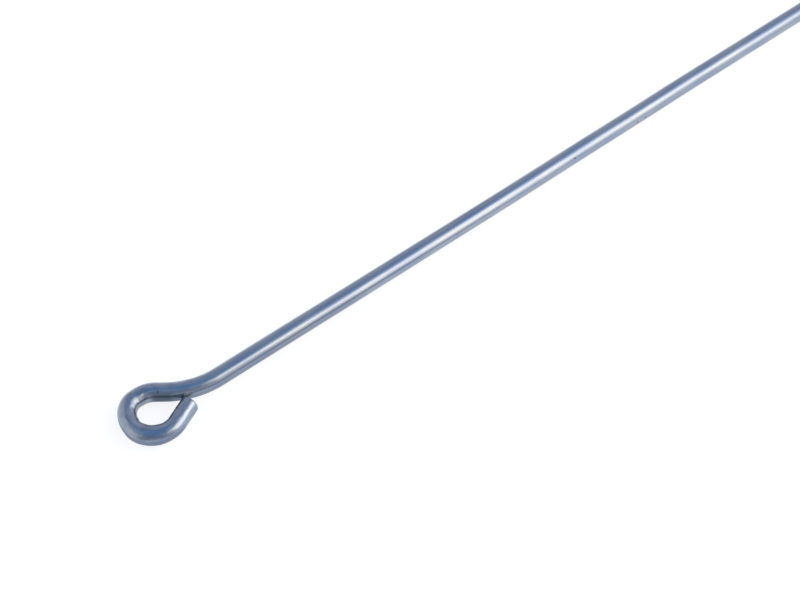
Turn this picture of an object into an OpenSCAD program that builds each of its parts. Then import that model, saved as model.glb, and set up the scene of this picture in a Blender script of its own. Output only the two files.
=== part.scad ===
/* [Wire] */
// Diameter of the round wire
wire_d = 4; // [3:0.1:5]
// Overall length, from the free end to the far side of the eye
overall_l = 250; // [125:1:1000]
// Width of the broken edge around the free end
free_edge = 0.3; // [0.1:0.05:0.8]

/* [Eye] */
// Clear diameter inside the eye
eye_d = 6.9; // [6:0.1:9]
// Angle that the wire turns through around the eye
eye_turn = 243.5; // [238:0.5:250]

/* [Neck] */
// Straight length between the eye and the neck's bend
neck_run = 2.2; // [1:0.1:5]
// Radius on the inside of the neck's bend
neck_in_r = 14.9; // [10:0.1:20]
// Angle that the neck turns back through, which brings the eye in line with the stem
neck_turn = 38.4; // [34:0.2:42]

/* [Tip] */
// Gap between the tip's corner and the neck
tip_gap = 0.15; // [0.1:0.05:1.5]
// Slope of the sheared face, which is longer on the side next to the neck
tip_shear = 6; // [2:1:20]
// Width of the broken edge around the sheared face
tip_edge = 0.4; // [0.1:0.05:0.8]

/* [Bending] */
// Loss of the wire's diameter where it is bent
bend_thin = 0.02; // [0.01:0.01:0.1]

/* [Hidden] */

wire_r = wire_d / 2;
bend_wire_r = (wire_d - bend_thin) / 2;
eye_r = eye_d / 2 + bend_wire_r;      // centreline radius of the eye
neck_r = neck_in_r + bend_wire_r;     // centreline radius of the neck's bend
neck_outer_r = neck_r + bend_wire_r;  // outside of the neck's bend, which the tip faces

straight_fn = 96;
bend_fn = 180;
lap = 0.05;  // how far a straight reaches into the next bend, so that the two join
over = 1;    // how far a cutting form reaches past what it cuts

// The wire lies in the XY plane, with the eye's centre at the origin and the stem towards +X.
// It is followed from the stem to the tip. A direction is an angle from +X.
neck_dir = 180 - neck_turn;
tip_dir = neck_dir + eye_turn;

function along(dir, l) = [l * cos(dir), l * sin(dir)];
function left_of(dir, l) = along(dir + 90, l);

// Places on the centreline, worked out outwards from the eye's centre
eye_centre = [0, 0];
eye_start = eye_centre + left_of(neck_dir, -eye_r);
neck_end = eye_start - along(neck_dir, neck_run);
neck_centre = neck_end + left_of(neck_dir, -neck_r);
stem_start = neck_centre + left_of(180, neck_r);
free_end = [overall_l - eye_r - bend_wire_r, stem_start[1]];
tip_start = eye_centre + left_of(tip_dir, -eye_r);

// The side of the tip next to the neck runs on until it is tip_gap away from the neck's bend
tip_side = tip_start + left_of(tip_dir, wire_r) - neck_centre;
tip_side_ahead = tip_side * along(tip_dir, 1);
tip_side_l = -tip_side_ahead
    - sqrt(pow(neck_outer_r + tip_gap, 2) - tip_side * tip_side + pow(tip_side_ahead, 2));
tip_l = tip_side_l - wire_r * tan(tip_shear);
tip_end = tip_start + along(tip_dir, tip_l);

// A straight of round wire from a place on the centreline, longer by some amount before and after
module straight(place, dir, l, before, after) {
    translate([place[0], place[1], 0])
        rotate([0, 90, dir])
            translate([0, 0, -before])
                cylinder(h = before + l + after, r = wire_r, $fn = straight_fn);
}

// A bend of round wire about a centre, from one angle on through another
module bend(centre, r, from, turn) {
    translate([centre[0], centre[1], 0])
        rotate_extrude(start = from, angle = turn, $fn = bend_fn)
            translate([r, 0])
                circle(r = bend_wire_r, $fn = straight_fn);
}

// What lies outside an end face and its edge, which is broken at 45 degrees
module end_cut(place, dir, edge) {
    reach = wire_d + over;
    translate([place[0], place[1], 0])
        rotate([0, 90, dir])
            difference() {
                translate([0, 0, -reach])
                    cylinder(h = 2 * reach, r = wire_d + reach, $fn = straight_fn);
                translate([0, 0, -reach - over])
                    cylinder(
                        h = reach + over,
                        r1 = wire_r - edge + reach + over,
                        r2 = wire_r - edge,
                        $fn = straight_fn
                    );
            }
}

// The straight stem, cut square at its free end
module stem() {
    difference() {
        straight(stem_start, 0, free_end[0] - stem_start[0], lap, over);
        end_cut(free_end, 0, free_edge);
    }
}

// The bend and the short straight that lead from the stem to the eye
module neck() {
    bend(neck_centre, neck_r, 270 - neck_turn, neck_turn);
    straight(neck_end, neck_dir, neck_run, lap, lap);
}

// The round of the eye
module eye() {
    bend(eye_centre, eye_r, neck_dir - 90, eye_turn);
}

// The short tip that closes the eye, sheared at a slope
module tip() {
    difference() {
        straight(tip_start, tip_dir, tip_l, lap, wire_d);
        end_cut(tip_end, tip_dir - tip_shear, tip_edge);
    }
}

// One length of drawn and zinc-plated steel wire
module eyed_wire() {
    color([0.58, 0.64, 0.72]) {
        stem();
        neck();
        eye();
        tip();
    }
}

eyed_wire();
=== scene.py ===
# %% [markdown]
# Eyed hanger wire
#
# This lesson makes one length of zinc-plated steel wire whose end is bent into an eye.
# It starts from the frame: the part as it was built, at its real size, lying on a table.
# The straight stem runs along +X, and the centre of the eye is the origin.

# %% Load the frame
import math

import bpy
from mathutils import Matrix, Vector


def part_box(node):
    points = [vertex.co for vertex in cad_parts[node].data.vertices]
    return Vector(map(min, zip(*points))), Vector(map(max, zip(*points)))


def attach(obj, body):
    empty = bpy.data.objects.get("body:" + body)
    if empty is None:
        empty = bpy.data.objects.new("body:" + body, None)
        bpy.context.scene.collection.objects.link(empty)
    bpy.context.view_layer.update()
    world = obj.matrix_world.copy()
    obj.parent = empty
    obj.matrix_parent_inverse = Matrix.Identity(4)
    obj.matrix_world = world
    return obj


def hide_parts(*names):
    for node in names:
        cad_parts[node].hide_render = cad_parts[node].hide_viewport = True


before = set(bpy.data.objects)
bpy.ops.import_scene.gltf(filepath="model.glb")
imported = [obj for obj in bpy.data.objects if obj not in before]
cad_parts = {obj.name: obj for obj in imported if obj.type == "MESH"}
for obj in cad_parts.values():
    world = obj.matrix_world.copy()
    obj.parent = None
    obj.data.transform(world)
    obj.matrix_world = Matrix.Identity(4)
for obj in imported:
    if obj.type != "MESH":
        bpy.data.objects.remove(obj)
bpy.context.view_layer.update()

# %% [markdown]
# The wire's own sizes come first. The wire's radius, the free end and the outside of the eye are
# measured on the frame. The bends are those that a wire-bending machine would be set to.

# %% Sizes of the wire
MM = 0.001

low, high = (Vector(corner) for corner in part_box("eyed_wire"))
wire_r = (high.z - low.z) / 2
free_x = high.x
eye_r = -low.x - wire_r

eye_turn = math.radians(243.5)
neck_turn = math.radians(38.4)
neck_r = 16.89 * MM
neck_run = 2.2 * MM
tip_l = 5.55 * MM
tip_shear = math.radians(6)
tip_roll = 0.45 * MM
free_edge = 0.3 * MM

print(f"wire {2 * wire_r / MM:.2f} mm, eye {2 * (eye_r - wire_r) / MM:.2f} mm inside")

# %% [markdown]
# Everything that follows the wire, the modelling and later the pattern of its finish, needs the
# line along its middle. It is worked out outwards from the eye's centre. A heading is the angle
# from +X in which the line runs, from the stem to the tip.

# %% The line along the middle of the wire
def along(heading, length):
    return Vector((math.cos(heading), math.sin(heading), 0)) * length


def left_of(heading, length):
    return along(heading + math.pi / 2, length)


neck_heading = math.pi - neck_turn
tip_heading = neck_heading + eye_turn
eye_centre = Vector((0, 0, 0))
eye_start = eye_centre - left_of(neck_heading, eye_r)
neck_end = eye_start - along(neck_heading, neck_run)
neck_centre = neck_end - left_of(neck_heading, neck_r)
stem_start = neck_centre + left_of(math.pi, neck_r)
tip_start = eye_centre - left_of(tip_heading, eye_r)
tip_end = tip_start + along(tip_heading, tip_l)
free_end = Vector((free_x, stem_start.y, 0))
stem_l = (free_end - stem_start).length
print("stem", round(stem_l / MM, 1), "mm, at y", round(stem_start.y / MM, 2), "mm")

# %% [markdown]
# The wire is modelled as it is made. A ring is the section of the drawn wire. It is extruded along
# the stem, spun through the neck's bend, extruded again and spun round the eye. A curve with a
# round bevel would be quicker, but this way each operator carries on from the ring that the last
# one left selected, so the wire is one unbroken skin with its rings square to it everywhere.

# %% Helpers for edit mode
def edit(mode="EDIT"):
    bpy.ops.object.mode_set(mode=mode)


def deselect_objects():
    for thing in bpy.context.selected_objects:
        thing.select_set(False)


def pull(direction):
    bpy.ops.mesh.extrude_region_move(TRANSFORM_OT_translate={"value": direction})


def bend(centre, turn, steps):
    # With this sign a positive turn bends to the left, as the headings do
    bpy.ops.mesh.spin(steps=steps, angle=-turn, center=centre, axis=(0, 0, 1))


print("helpers for edit mode are ready")

# %% Draw the wire and bend it
# Sides of the wire, and how many rings each stretch of it is drawn with
RING = 64
STEM_STEPS = 60
NECK_STEPS = 24
EYE_STEPS = 120
# The tip is drawn this much too long, and is cut off later
spare = 4 * MM

deselect_objects()
bpy.ops.mesh.primitive_circle_add(
    vertices=RING,
    radius=wire_r,
    fill_type="NOTHING",
    location=free_end,
    rotation=(0, math.pi / 2, 0),
)
wire = bpy.context.object
wire.name = "eyed_wire_drawn"
bpy.ops.object.transform_apply(location=True, rotation=True, scale=True)

edit()
bpy.ops.mesh.select_all(action="SELECT")
for step in range(STEM_STEPS):
    pull(along(math.pi, stem_l / STEM_STEPS))
bend(neck_centre, -neck_turn, NECK_STEPS)
pull(along(neck_heading, neck_run))
bend(eye_centre, eye_turn, EYE_STEPS)
edit("OBJECT")
faces_before_tip = len(wire.data.polygons)
edit()
pull(along(tip_heading, tip_l + spare))
edit("OBJECT")
print("wire", len(wire.data.vertices), "vertices")

# %% [markdown]
# The tip is cut off by a shear, which leaves a sloping face. A bisect does the same: only the
# tip's own faces are selected, so that the plane doesn't reach the rest of the wire, and it fills
# the cut. The free end is cropped square, so its ring is only closed with a face.

# %% Select by place
SELECT_MODE = {"edges": "EDGE", "polygons": "FACE"}


def select_where(kind, test):
    """Selects the edges or faces that pass a test, which is given each one and its middle."""
    edit()
    bpy.ops.mesh.select_all(action="DESELECT")
    bpy.ops.mesh.select_mode(type=SELECT_MODE[kind])
    edit("OBJECT")
    mesh = wire.data
    chosen = 0
    for part in getattr(mesh, kind):
        corners = [mesh.vertices[i].co for i in part.vertices]
        middle = sum(corners, Vector()) / len(corners)
        part.select = test(part, middle)
        chosen += part.select
    edit()
    return chosen


print("what can be selected by place:", list(SELECT_MODE))

# %% Shear the tip and close the free end
shear_normal = along(tip_heading - tip_shear, 1)
# Points that are nearer than this to each other are taken for one
hair = wire_r / 500


def on_tip(part, middle):
    return part.index >= faces_before_tip


def at_free_end(part, middle):
    return (middle - free_end).length < wire_r + hair and abs(middle.x - free_end.x) < hair


print("tip's faces", select_where("polygons", on_tip))
bpy.ops.mesh.bisect(plane_co=tip_end, plane_no=shear_normal, use_fill=True, clear_outer=True)
print("free end's edges", select_where("edges", at_free_end))
bpy.ops.mesh.edge_face_add()
bpy.ops.mesh.select_all(action="SELECT")
bpy.ops.mesh.remove_doubles(threshold=hair)
bpy.ops.mesh.normals_make_consistent(inside=False)
edit("OBJECT")

# %% [markdown]
# A shear rolls the rim of the cut over before it breaks through, so the tip has a soft rounded
# rim. The cropped free end has only its burr taken off. Both are bevels of the rim's edges.

# %% Round the two rims
ROLL_STEPS = 6
BURR_STEPS = 3
# The profile that makes a bevel a quarter of a circle
ROUND = 0.5
crease = math.radians(35)


def on_shear_plane(point):
    past = point - tip_end
    return abs(past.dot(shear_normal)) < hair and past.length < 2 * wire_r


def rim_of_tip(part, middle):
    return all(on_shear_plane(wire.data.vertices[i].co) for i in part.vertices)


print("edges on the tip's rim", select_where("edges", rim_of_tip))
bpy.ops.mesh.bevel(offset=tip_roll, segments=ROLL_STEPS, profile=ROUND, affect="EDGES")
print("edges on the free end's rim", select_where("edges", at_free_end))
bpy.ops.mesh.bevel(offset=free_edge, segments=BURR_STEPS, profile=ROUND, affect="EDGES")
edit("OBJECT")
deselect_objects()
wire.select_set(True)
bpy.ops.object.shade_smooth_by_angle(angle=crease)
print("finished wire", len(wire.data.polygons), "faces")

# %% [markdown]
# The finish of the wire was made while it was straight: the drawing die left its lines along it,
# and they follow it through the bends. So each point of the mesh keeps, as an attribute, the place
# where it lay before the bending. X is how far it is from the free end along the wire, Y is how far
# it lies to the left of the wire's middle, and Z is its height.

# %% The stretches of the wire
STRAIGHT, BEND = "straight", "bend"
# A straight has its start, heading and length, and a bend its centre, heading, turn and radius
stretches = [
    (STRAIGHT, free_end, math.pi, stem_l),
    (BEND, neck_centre, math.pi, -neck_turn, neck_r),
    (STRAIGHT, neck_end, neck_heading, neck_run),
    (BEND, eye_centre, neck_heading, eye_turn, eye_r),
    (STRAIGHT, tip_start, tip_heading, tip_l),
]


def on_straight(point, start, heading, length):
    ahead = (point - start).dot(along(heading, 1))
    side = (point - start).dot(left_of(heading, 1))
    return ahead, side, length, heading


def on_bend(point, centre, heading, turn, radius):
    sign = math.copysign(1, turn)
    out = point - centre
    start_angle = heading - sign * math.pi / 2
    half_rest = math.pi - abs(turn) / 2
    turned = sign * (math.atan2(out.y, out.x) - start_angle)
    angle = (turned + half_rest) % (2 * math.pi) - half_rest
    side = sign * (radius - math.hypot(out.x, out.y))
    return angle * radius, side, abs(turn) * radius, heading + sign * angle


print("stretches", len(stretches))

# %% Unbend the wire for its pattern
def unbend(point):
    """The place of a point on the straight wire, and the heading of the wire where it is now."""
    # The neck passes close to the tip, and what lies past the shear is never on the tip
    past_shear = (point - tip_end).dot(shear_normal) > hair
    before = 0
    nearest = None
    for kind, *numbers in stretches[:-1] if past_shear else stretches:
        measure = on_straight if kind == STRAIGHT else on_bend
        ahead, side, length, heading = measure(point, *numbers)
        outside = max(0, -ahead, ahead - length)
        far = math.hypot(side, point.z, outside)
        if nearest is None or far < nearest[0]:
            nearest = (far, Vector((before + ahead, side, point.z)), heading)
        before += length
    return nearest[1:]


unbent = [unbend(vertex.co) for vertex in wire.data.vertices]
drawn = wire.data.attributes.new("drawn", "FLOAT_VECTOR", "POINT")
for vertex, (place, heading) in zip(wire.data.vertices, unbent):
    drawn.data[vertex.index].vector = place
wire_l = max(place.x for place, heading in unbent)
print("length of the wire before bending", round(wire_l / MM, 1), "mm")

# %% [markdown]
# No wire is perfectly true. After straightening, the stem keeps a bow of about a tenth of a
# millimetre, and the eye is not a perfect round, because the wire springs back a little more in
# one place than in another. Where the bending pin squeezed it, it is also a little wider than it
# is thick. A mirror shows this at once, and so does this metal. Each ring of the wire is moved
# sideways and widened by small amounts, which are given at a few places and eased in between.

# %% Let the wire be only as true as a real one
# Place past the end of the stem, and move to the left, both in mm
sideways = (
    (-227, 0.0), (-170, -0.15), (-138, -0.18), (-110, -0.02), (-75, 0.17), (-40, 0.13),
    (-12, 0.03), (0, 0.0), (6, 0.0), (13.5, 0.05), (17.3, 0.02), (19.2, -0.14), (21.1, -0.05),
    (23.0, 0.10), (24.9, 0.15), (26.8, 0.0), (37, 0.0),
)
# Place past the end of the stem, and how much further out each side of the wire is, both in mm
swelling = ((25.8, 0.0), (28.5, 0.18), (31.5, 0.18), (34.2, 0.0))


def eased(table, x):
    # Between two places the value follows the smoothstep curve, which is level at both of them
    for (x0, y0), (x1, y1) in zip(table, table[1:]):
        if x <= x1:
            share = min(1, max(0, (x - x0) / (x1 - x0)))
            return y0 + (y1 - y0) * share * share * (3 - 2 * share)
    return table[-1][1]


for vertex, (place, heading) in zip(wire.data.vertices, unbent):
    past_stem = (place.x - stem_l) / MM
    move = eased(sideways, past_stem) + eased(swelling, past_stem) * place.y / wire_r
    vertex.co += left_of(heading, move * MM)
wire.data.update()
print("largest sideways move", max(abs(move) for _, move in sideways), "mm")
print("a side moves out by up to", max(more for _, more in swelling), "mm")

# %% [markdown]
# Colours are written as the hex values of a colour picker, and one function turns them to the
# linear values that the shaders take. Another one adds a node with its settings and links, and
# gives back one of its outputs, so that the next node can be fed from it.

# %% Helpers for materials
def linear(hex_colour):
    # The curve is the one that the sRGB standard gives
    channels = []
    for start in (1, 3, 5):
        value = int(hex_colour[start:start + 2], 16) / 255
        channels.append(value / 12.92 if value <= 0.04045 else ((value + 0.055) / 1.055) ** 2.4)
    return (*channels, 1)


def add(tree, kind, inputs=(), out=0, **settings):
    node = tree.nodes.new(kind)
    for name, value in settings.items():
        setattr(node, name, value)
    for name, value in dict(inputs).items():
        if isinstance(value, bpy.types.NodeSocket):
            tree.links.new(value, node.inputs[name])
        else:
            node.inputs[name].default_value = value
    return node.outputs[out] if node.outputs else node


def new_material(name):
    material = bpy.data.materials.new(name)
    material.use_nodes = True
    material.node_tree.nodes.clear()
    return material


EASE = "SMOOTHSTEP"
print("a hex grey of #808080 is", round(linear("#808080")[0], 3), "in light")

# %% [markdown]
# Zinc plating over drawn steel wire, with a clear blue passivation. Plain zinc is a bluish-white
# metal, and the passivation bath leaves a thin film that gives it a cold blue-grey cast. The film
# lies on a wire that was pulled through a die, so its reflections are drawn out into long soft
# stripes along the wire. An even shiny grey would look like plastic, so the finish is built up in
# layers: the die's lines, clouds in the film, marks from the bending, and pits.
#
# All the noises are made in one loop. Each has a real size: how long a patch is along the wire,
# and how wide it is across it, in millimetres.

# %% Zinc plating: the noises
zinc = new_material("zinc_plating_blue_passivated")
tree = zinc.node_tree
place = add(tree, "ShaderNodeAttribute", out="Vector", attribute_name="drawn")
run = add(tree, "ShaderNodeSeparateXYZ", {"Vector": place}, out="X")

# Name: (length and width in mm, detail). The die's real scratches are some 0.03 mm wide, and
# the fine lines are drawn four times as coarse, so that a picture of the whole wire shows them.
noise_sizes = {
    "broad lines": (150, 0.9, 1.0),
    "fine lines": (30, 0.13, 1.0),
    "streaks": (60, 0.4, 2.0),
    "clouds": (9, 3, 4.0),
    "smudges": (2.2, 1.1, 3.0),
    "dents": (3.0, 1.6, 2.0),
    "grain": (0.25, 0.25, 2.0),
}
noise = {}
for name, (length, width, detail) in noise_sizes.items():
    scale = (1 / (length * MM), 1 / (width * MM), 1 / (width * MM))
    spread = add(tree, "ShaderNodeMapping", {"Vector": place, "Scale": scale})
    noise[name] = add(
        tree,
        "ShaderNodeTexNoise",
        {"Vector": spread, "Scale": 1.0, "Detail": detail},
        out="Fac",
    )
print("noises", list(noise))

# %% [markdown]
# The film is never even. It dries in clouds between a colder and a warmer grey, and it is darker
# in some of the streaks that the die left. Where the wire was bent, the tools pressed and wiped
# it, so the bends are smudged.

# %% Zinc plating: clouds, streaks and smudges
# The traces of the bending begin just before the neck and are full near the end of its bend
traces_begin = stem_l - 2 * MM
traces_full = stem_l + 10 * MM
bent = add(
    tree,
    "ShaderNodeMapRange",
    {"Value": run, "From Min": traces_begin, "From Max": traces_full},
    interpolation_type=EASE,
)
# Noise, where it starts to show, where it shows fully, how much, only in the bends, and colour
layers = (
    ("clouds", 0.35, 0.65, 1.0, False, "#A0AAB6"),
    ("streaks", 0.50, 0.28, 0.45, False, "#76839A"),
    ("smudges", 0.45, 0.65, 0.45, True, "#7E8594"),
)
film_grey = "#929FB4"
colour = linear(film_grey)
for name, starts, full, most, only_bent, tint in layers:
    share = add(
        tree,
        "ShaderNodeMapRange",
        {"Value": noise[name], "From Min": starts, "From Max": full, "To Max": most},
        interpolation_type=EASE,
    )
    if only_bent:
        share = add(tree, "ShaderNodeMath", {0: share, 1: bent}, operation="MULTIPLY")
    colour = add(
        tree,
        "ShaderNodeMix",
        {"Factor": share, "A": colour, "B": linear(tint)},
        out="Result",
        data_type="RGBA",
    )
print("colour layers", len(layers))

# %% [markdown]
# Some marks run along the wire at one place on its section: a darker line along the stem near the
# neck, a painted reflection of the blue sky straight above as a bluer band on the far stem, a duller
# band low on the last stretch of the stem, painted shade on the inner side of the neck beside the
# tip, where it would mirror the table's shadow inside the eye, and painted shade on the outside of
# the eye, where it mirrors the table in the wire's own shadow. Each one is drawn round a line, by
# how far a point is from that line.

# %% Zinc plating: where the marks are
# Degrees up from the wire's left side, how far it is full and how far it reaches (mm), where it
# fades in and where it fades out (mm past the stem), how strong it is, its colour, how much rougher
marks = (
    (25.8, (0.05, 0.45), (-95, -20), (6, 14), 0.75, "#6A7488", 0.0),
    # Painted reflection: a bluer band where the far stem mirrors the blue sky straight above
    (72.6, (0.04, 0.38), (-240, -200), (-75, -25), 0.40, "#7394C9", 0.0),
    (-15.0, (0.85, 1.25), (-45, -15), (8, 11), 0.50, "#66728A", 0.05),
    # Painted shade: the inner side of the neck beside the tip, darker as if it mirrored the shadowed
    # table inside the eye
    (-8.0, (1.00, 2.30), (8, 11), (13, 16), 0.85, "#53606F", 0.15),
    # Painted shade: the outside of the eye, darker where it mirrors the table in the wire's own
    # shadow
    (183.0, (0.50, 1.10), (21, 25), (34, 38), 0.72, "#66728A", 0.05),
)
print("marks at", [degrees for degrees, *_ in marks], "degrees")

# %% Zinc plating: marks along the wire
ACROSS = (0, 1, 1)
haze = 0.0
for degrees, (full, reach), begins, ends, most, tint, rougher in marks:
    angle = math.radians(degrees)
    on_skin = (0, wire_r * math.cos(angle), wire_r * math.sin(angle))
    off = add(tree, "ShaderNodeVectorMath", {0: place, 1: on_skin}, operation="SUBTRACT")
    off = add(tree, "ShaderNodeVectorMath", {0: off, 1: ACROSS}, operation="MULTIPLY")
    off = add(tree, "ShaderNodeVectorMath", {0: off}, out="Value", operation="LENGTH")
    steps = (
        (off, full * MM, reach * MM, most, 0.0),
        (run, stem_l + begins[0] * MM, stem_l + begins[1] * MM, 0.0, 1.0),
        (run, stem_l + ends[0] * MM, stem_l + ends[1] * MM, 1.0, 0.0),
    )
    share = 1.0
    for value, near, far, at_near, at_far in steps:
        step = add(
            tree,
            "ShaderNodeMapRange",
            {
                "Value": value,
                "From Min": near,
                "From Max": far,
                "To Min": at_near,
                "To Max": at_far,
            },
            interpolation_type=EASE,
        )
        share = add(tree, "ShaderNodeMath", {0: step, 1: share}, operation="MULTIPLY")
    colour = add(
        tree,
        "ShaderNodeMix",
        {"Factor": share, "A": colour, "B": linear(tint)},
        out="Result",
        data_type="RGBA",
    )
    if rougher:
        haze = add(
            tree,
            "ShaderNodeMath",
            {0: share, 1: rougher, 2: haze},
            operation="MULTIPLY_ADD",
        )
print("marks drawn", len(marks))

# %% [markdown]
# Here and there the steel shows as a dark pit, where dirt kept the zinc off. Four pits are large
# enough to be seen. Many more are as small as a pin prick, and each cell of a Voronoi pattern has
# one at most.

# %% Zinc plating: where the pits are
# Place on the straight wire and radius in mm, and how dark it is
pits = (
    ((129.0, 1.73, 1.0), 0.30, 0.75),
    ((109.5, 1.98, 0.28), 0.34, 0.8),
    ((107.0, 2.0, 0.14), 0.32, 0.7),
    ((239.8, 1.2, 1.6), 0.36, 0.55),
)
# The share of a pit's radius in which it is dark all over
PIT_FLOOR = 1 / 3
pit_grey = "#3A404A"
prick_cell = 9 * MM
# How far a prick is dark and how far it reaches, both in cells, and how dark it is
prick_floor = 0.008
prick_reach = 0.02
prick_darkness = 0.6
print("pits", len(pits), "and at most one prick in each", round(prick_cell / MM), "mm")

# %% Zinc plating: pits
pit = add(
    tree,
    "ShaderNodeTexVoronoi",
    {"Vector": place, "Scale": 1 / prick_cell},
    out="Distance",
)
pit = add(
    tree,
    "ShaderNodeMapRange",
    {
        "Value": pit,
        "From Min": prick_floor,
        "From Max": prick_reach,
        "To Min": prick_darkness,
        "To Max": 0.0,
    },
    interpolation_type=EASE,
)
for middle, radius, darkness in pits:
    middle = [part * MM for part in middle]
    off = add(tree, "ShaderNodeVectorMath", {0: place, 1: middle}, out="Value", operation="DISTANCE")
    spot = add(
        tree,
        "ShaderNodeMapRange",
        {
            "Value": off,
            "From Min": radius * MM * PIT_FLOOR,
            "From Max": radius * MM,
            "To Min": darkness,
            "To Max": 0.0,
        },
        interpolation_type=EASE,
    )
    pit = add(tree, "ShaderNodeMath", {0: pit, 1: spot}, operation="MAXIMUM")
colour = add(
    tree,
    "ShaderNodeMix",
    {"Factor": pit, "A": colour, "B": linear(pit_grey)},
    out="Result",
    data_type="RGBA",
)
print("zinc has", len(tree.nodes), "nodes so far")

# %% [markdown]
# The relief is what bends the reflections. The broad and fine lines of the die run along the
# wire, the tools left shallow dents in the bends, and the pits are hollow. The roughness varies
# with the grain of the zinc and with the streaks, which breaks up the edge of each highlight.

# %% Zinc plating: relief
dents = add(tree, "ShaderNodeMath", {0: noise["dents"], 1: bent}, operation="MULTIPLY")
hollow = add(tree, "ShaderNodeMath", {0: 1.0, 1: pit}, operation="SUBTRACT")
# What stands out, and how far
reliefs = (
    (noise["broad lines"], 0.035 * MM),
    (noise["fine lines"], 0.008 * MM),
    (dents, 0.16 * MM),
    (hollow, 0.05 * MM),
)
normal = add(tree, "ShaderNodeNewGeometry", out="Normal")
for relief, depth in reliefs:
    normal = add(
        tree,
        "ShaderNodeBump",
        {"Height": relief, "Strength": 1.0, "Distance": depth, "Normal": normal},
    )
print("reliefs", len(reliefs), "the deepest", max(depth for _, depth in reliefs) / MM, "mm")

# %% Zinc plating: roughness and shader
# The two noises are each about a half, so their sum is about one
sum_low, sum_high = 0.7, 1.3
smoothest, roughest = 0.20, 0.28

grainy = add(tree, "ShaderNodeMath", {0: noise["grain"], 1: noise["streaks"]}, operation="ADD")
roughness = add(
    tree,
    "ShaderNodeMapRange",
    {
        "Value": grainy,
        "From Min": sum_low,
        "From Max": sum_high,
        "To Min": smoothest,
        "To Max": roughest,
    },
    interpolation_type=EASE,
)
roughness = add(tree, "ShaderNodeMath", {0: roughness, 1: haze}, operation="ADD")
skin = add(
    tree,
    "ShaderNodeBsdfPrincipled",
    {"Base Color": colour, "Metallic": 1.0, "Roughness": roughness, "Normal": normal},
)
add(tree, "ShaderNodeOutputMaterial", {"Surface": skin})
wire.data.materials.append(zinc)
print("material", zinc.name, len(tree.nodes), "nodes")

# %% [markdown]
# Sheared steel, bare. The wire was cut after it was plated, so both cuts show the steel itself, a
# warmer and duller grey than the zinc. A shear leaves two zones: a burnished band where the blade
# went in, with fine scores in the blade's direction, and below it a rough zone where the rest
# tore off. The line between the two wavers.

# %% Sheared steel: two zones
steel = new_material("sheared_steel_bare")
tree = steel.node_tree
place = add(tree, "ShaderNodeAttribute", out="Vector", attribute_name="drawn")
height = add(tree, "ShaderNodeSeparateXYZ", {"Vector": place}, out="Z")

waver_size = 1.2 * MM
torn_below = 0.9 * MM
smooth_above = 1.4 * MM
waver = add(
    tree,
    "ShaderNodeTexNoise",
    {"Vector": place, "Scale": 1 / waver_size, "Detail": 3.0},
    out="Fac",
)
level = add(tree, "ShaderNodeMath", {0: waver, 1: waver_size, 2: height}, operation="MULTIPLY_ADD")
torn = add(
    tree,
    "ShaderNodeMapRange",
    {
        "Value": level,
        "From Min": torn_below,
        "From Max": smooth_above,
        "To Min": 1.0,
        "To Max": 0.0,
    },
    interpolation_type=EASE,
)
meeting = (torn_below + smooth_above - waver_size) / 2
print("the zones meet some", round(meeting / MM, 2), "mm above the wire's middle")

# %% Sheared steel: sizes and colours
score_width = 0.08 * MM
score_length = 3 * MM
score_depth = 0.01 * MM
crystal_size = 0.12 * MM
crystal_depth = 0.03 * MM
crystal_edge = (0.55, 0.75)
crystal_share = 0.5
crystal_grey = "#7D766F"
burnished_grey, burnished_roughness = "#C4C1BD", 0.40
torn_grey, torn_roughness = "#A5A29D", 0.60
print("crystals", round(crystal_size / MM, 2), "mm, scores", round(score_width / MM, 2), "mm wide")

# %% Sheared steel: scores and crystals
spread = add(
    tree,
    "ShaderNodeMapping",
    {"Vector": place, "Scale": (1 / score_width, 1 / score_width, 1 / score_length)},
)
scores = add(
    tree,
    "ShaderNodeTexNoise",
    {"Vector": spread, "Scale": 1.0, "Detail": 1.0},
    out="Fac",
)
crystals = add(
    tree,
    "ShaderNodeTexNoise",
    {"Vector": place, "Scale": 1 / crystal_size, "Detail": 2.0},
    out="Fac",
)
dark = add(
    tree,
    "ShaderNodeMapRange",
    {
        "Value": crystals,
        "From Min": crystal_edge[0],
        "From Max": crystal_edge[1],
        "To Max": crystal_share,
    },
    interpolation_type=EASE,
)
print("steel has", len(tree.nodes), "nodes so far")

# %% Sheared steel: shader
colour = add(
    tree,
    "ShaderNodeMix",
    {"Factor": torn, "A": linear(burnished_grey), "B": linear(torn_grey)},
    out="Result",
    data_type="RGBA",
)
colour = add(
    tree,
    "ShaderNodeMix",
    {"Factor": dark, "A": colour, "B": linear(crystal_grey)},
    out="Result",
    data_type="RGBA",
)
roughness = add(
    tree,
    "ShaderNodeMapRange",
    {"Value": torn, "To Min": burnished_roughness, "To Max": torn_roughness},
)
torn_relief = add(tree, "ShaderNodeMath", {0: crystals, 1: torn}, operation="MULTIPLY")
normal = add(
    tree,
    "ShaderNodeBump",
    {"Height": scores, "Strength": 1.0, "Distance": score_depth},
)
normal = add(
    tree,
    "ShaderNodeBump",
    {"Height": torn_relief, "Strength": 1.0, "Distance": crystal_depth, "Normal": normal},
)
cut = add(
    tree,
    "ShaderNodeBsdfPrincipled",
    {"Base Color": colour, "Metallic": 1.0, "Roughness": roughness, "Normal": normal},
)
add(tree, "ShaderNodeOutputMaterial", {"Surface": cut})
wire.data.materials.append(steel)
print("material", steel.name, len(tree.nodes), "nodes")

# %% [markdown]
# The rolled rims stay plated, because the shear drew the zinc over them before it cut. So only
# the flat faces of the two cuts get the bare steel. They are found by where they are and by how
# straight they look along the wire.

# %% Give the two cuts their steel
STEEL_SLOT = 1
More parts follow.
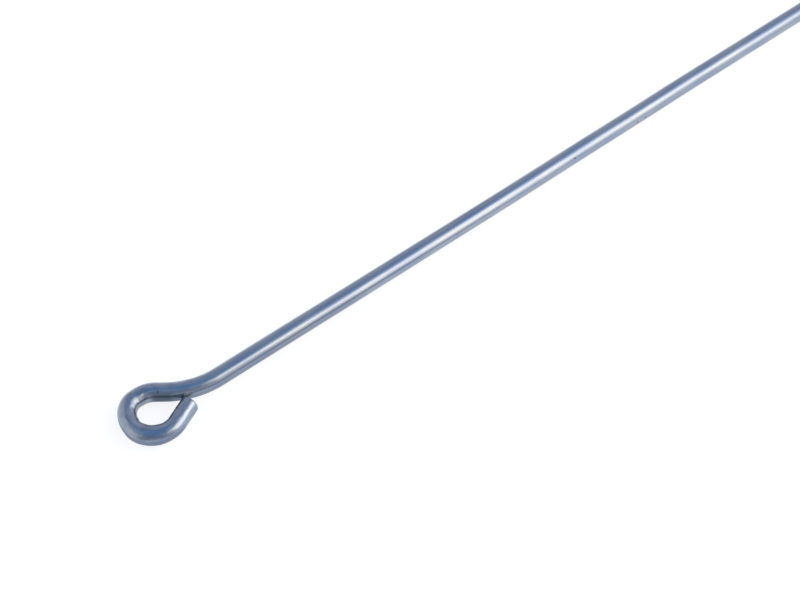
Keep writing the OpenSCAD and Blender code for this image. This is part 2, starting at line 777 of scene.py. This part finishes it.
# The least cosine of the angle between the way a face looks and the way its cut does
FLAT = 0.999
cuts = 0
for face in wire.data.polygons:
    on_tip_cut = face.normal.dot(shear_normal) > FLAT and (face.center - tip_end).length < wire_r
    on_free_cut = face.normal.x > FLAT and free_x - face.center.x < hair
    if on_tip_cut or on_free_cut:
        face.material_index = STEEL_SLOT
        cuts += 1
print("cuts", cuts)

# %% [markdown]
# The table is matt white paint. The picture has a pure white ground, so the table glows a little
# as well, only for rays from the camera and for rays that a metal or glass surface sends on, and
# so it never lights the wire. For the camera the paint is a darker grey and the glow makes up the
# rest of the white, which leaves only the softest shadow. The metal sees a paler paint, so its
# mirror image of the table is as dark in the wire's own shadow as it really is.

# %% Matt white paint
paint_seen, glow_seen = "#939393", 0.82
paint_mirrored, glow_mirrored = "#D4D4D4", 0.55

matt_white = new_material("table_white_matt_paint")
tree = matt_white.node_tree
rays = add(tree, "ShaderNodeLightPath").node.outputs
seen = rays["Is Camera Ray"]
mirrored = add(
    tree,
    "ShaderNodeMath",
    {0: rays["Is Glossy Ray"], 1: rays["Is Transmission Ray"]},
    operation="MAXIMUM",
)
strength = add(tree, "ShaderNodeMath", {0: seen, 1: glow_seen}, operation="MULTIPLY")
strength = add(
    tree,
    "ShaderNodeMath",
    {0: mirrored, 1: glow_mirrored, 2: strength},
    operation="MULTIPLY_ADD",
)
shade = add(
    tree,
    "ShaderNodeMix",
    {"Factor": seen, "A": linear(paint_mirrored), "B": linear(paint_seen)},
    out="Result",
    data_type="RGBA",
)
paint = add(tree, "ShaderNodeBsdfDiffuse", {"Color": shade})
glow = add(tree, "ShaderNodeEmission", {"Color": linear("#FFFFFF"), "Strength": strength})
both = add(tree, "ShaderNodeAddShader", {0: paint, 1: glow})
add(tree, "ShaderNodeOutputMaterial", {"Surface": both})
print("material", matt_white.name, len(tree.nodes), "nodes")

# %% Table
table_size = 4.0

deselect_objects()
bpy.ops.mesh.primitive_plane_add(size=table_size, location=(0, 0, -wire_r))
table = bpy.context.object
table.name = "table"
bpy.ops.object.transform_apply(location=True)
table.data.materials.append(matt_white)
print("table", table_size, "m wide, top at", round(-wire_r / MM, 2), "mm")

# %% [markdown]
# The camera looks down on the wire from the side, with the eye near it and the stem running away
# to the top right of the picture. The lights are placed as a photographer would say it, to the
# right, away from the camera and up, so one function turns such a direction to the frame's.

# %% Where the camera looks from
camera_azimuth = math.radians(-39.38)
camera_elevation = math.radians(50.83)
camera_distance = 401.4 * MM
camera_aim = Vector((58.42, -7.46, -2.0)) * MM
camera_lens = 84.4
camera_sensor = 36.0


def from_camera(right, away, up):
    turn = camera_azimuth
    return Vector((
        right * math.cos(turn) - away * math.sin(turn),
        right * math.sin(turn) + away * math.cos(turn),
        up,
    ))


back = from_camera(0, -math.cos(camera_elevation), math.sin(camera_elevation))
print("camera at", [round(part / MM) for part in camera_aim + back * camera_distance], "mm")

# %% [markdown]
# A round mirror shows the whole room as long stripes, so the room matters more than the lamp. Its
# light changes with height: a soft grey near the table, and a clear blue straight above, which is
# the blue band along the wire. A few walls add or take some light in one direction.

# %% Light of the room
# Height, from level to straight above, and the light there
heights = (
    (0.0, (0.49, 0.51, 0.60)),
    (0.20, (0.60, 0.61, 0.67)),
    (0.40, (0.53, 0.54, 0.60)),
    (0.55, (0.53, 0.55, 0.61)),
    (0.70, (0.51, 0.54, 0.61)),
    (0.82, (0.34, 0.40, 0.53)),
    (0.92, (0.34, 0.47, 0.67)),
    (1.0, (0.21, 0.37, 0.63)),
)
# Direction, where the wall starts and where it is full (as a cosine), and the light it adds
walls = (
    ((0.80, -0.25, 0.55), 0.80, 0.99, (0.30, 0.26, 0.20)),
    ((0.95, -0.10, 0.20), 0.60, 0.98, (0.11, 0.05, 0.0)),
    ((-0.95, 0.0, 0.30), 0.55, 0.98, (0.43, 0.39, 0.34)),
    ((0.10, 0.95, 0.30), 0.55, 0.98, (0.05, 0.06, 0.09)),
    ((0.05, -0.95, 0.30), 0.60, 0.98, (-0.19, -0.16, -0.14)),
    ((0.15, -0.97, 0.12), 0.85, 0.985, (0.20, 0.19, 0.17)),
    ((0.97, 0.25, 0.15), 0.86, 0.985, (0.60, 0.57, 0.50)),
    ((0.70, 0.45, 0.50), 0.925, 0.98, (0.50, 0.48, 0.44)),
)
print("room with", len(heights), "heights and", len(walls), "walls")

# %% Room
world = bpy.data.worlds.new("studio")
bpy.context.scene.world = world
world.use_nodes = True
tree = world.node_tree
tree.nodes.clear()
direction = add(tree, "ShaderNodeTexCoord", out="Generated")
up = add(tree, "ShaderNodeSeparateXYZ", {"Vector": direction}, out="Z")
light = add(tree, "ShaderNodeValToRGB", {"Fac": up})
stops = light.node.color_ramp.elements
# New stops start half way, and are then put in their places
half_way = 0.5
while len(stops) < len(heights):
    stops.new(half_way)
for stop, (position, colour) in zip(stops, heights):
    stop.position = position
    stop.color = (*colour, 1)
for towards, starts, full, adds in walls:
    middle = from_camera(*towards).normalized()
    facing = add(
        tree,
        "ShaderNodeVectorMath",
        {0: direction, 1: middle},
        out="Value",
        operation="DOT_PRODUCT",
    )
    share = add(
        tree,
        "ShaderNodeMapRange",
        {"Value": facing, "From Min": starts, "From Max": full},
        interpolation_type=EASE,
    )
    wall = add(tree, "ShaderNodeVectorMath", {0: adds, "Scale": share}, operation="SCALE")
    light = add(tree, "ShaderNodeVectorMath", {0: light, 1: wall}, operation="ADD")
air = add(tree, "ShaderNodeBackground", {"Color": light, "Strength": 1.0})
add(tree, "ShaderNodeOutputWorld", {"Surface": air})
print("world", world.name, len(tree.nodes), "nodes")

# %% [markdown]
# The bright stripe is a softbox to the right. A softbox is brightest in the middle, where its tube
# is, and fades towards the edge of its cloth, so there are two lamps: a warm tube, and behind it
# a larger and paler cloth. One even lamp would give the stripe a hard edge.

# %% Softbox
key_heading = math.radians(2.8)
key_height = math.radians(35.2)
# Name: distance, how far it is set away from the camera, width and height (all in metres),
# radiance, colour
parts_of_key = {
    "key_tube": (0.547, -0.044, 0.362, 0.320, 1.38, (1.0, 0.84, 0.60)),
    "key_cloth": (0.600, 0.0, 0.634, 0.640, 0.56, (1.0, 0.96, 0.90)),
}
key_towards = from_camera(
    math.cos(key_height) * math.cos(key_heading),
    math.cos(key_height) * math.sin(key_heading),
    math.sin(key_height),
)
# Level, square to the way to the softbox, and away from the camera
key_away = from_camera(-math.sin(key_heading), math.cos(key_heading), 0)
for name, (distance, away, width, height, radiance, colour) in parts_of_key.items():
    data = bpy.data.lights.new(name, "AREA")
    data.shape = "RECTANGLE"
    data.size = width
    data.size_y = height
    data.energy = radiance * math.pi * width * height
    data.color = colour
    lamp = bpy.data.objects.new(name, data)
    bpy.context.collection.objects.link(lamp)
    lamp.location = key_towards * distance + key_away * away
    lamp.rotation_euler = (-key_towards).to_track_quat("-Z", "Y").to_euler()
    print(name, round(data.energy, 3), "W")

# %% [markdown]
# The camera has a long lens, so the stem narrows only a little towards the far end. The view is
# Standard, which shows each colour about as it is written.

# %% Camera
camera_near = 10 * MM
data = bpy.data.cameras.new("camera")
data.lens = camera_lens
data.sensor_width = camera_sensor
data.clip_start = camera_near
camera = bpy.data.objects.new("camera", data)
bpy.context.collection.objects.link(camera)
camera.location = camera_aim + back * camera_distance
camera.rotation_euler = (-back).to_track_quat("-Z", "Y").to_euler()
bpy.context.scene.camera = camera
bpy.context.scene.view_settings.view_transform = "Standard"
print("lens", camera_lens, "mm")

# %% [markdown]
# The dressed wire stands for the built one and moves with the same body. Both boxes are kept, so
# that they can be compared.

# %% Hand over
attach(wire, "root")
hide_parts("eyed_wire")
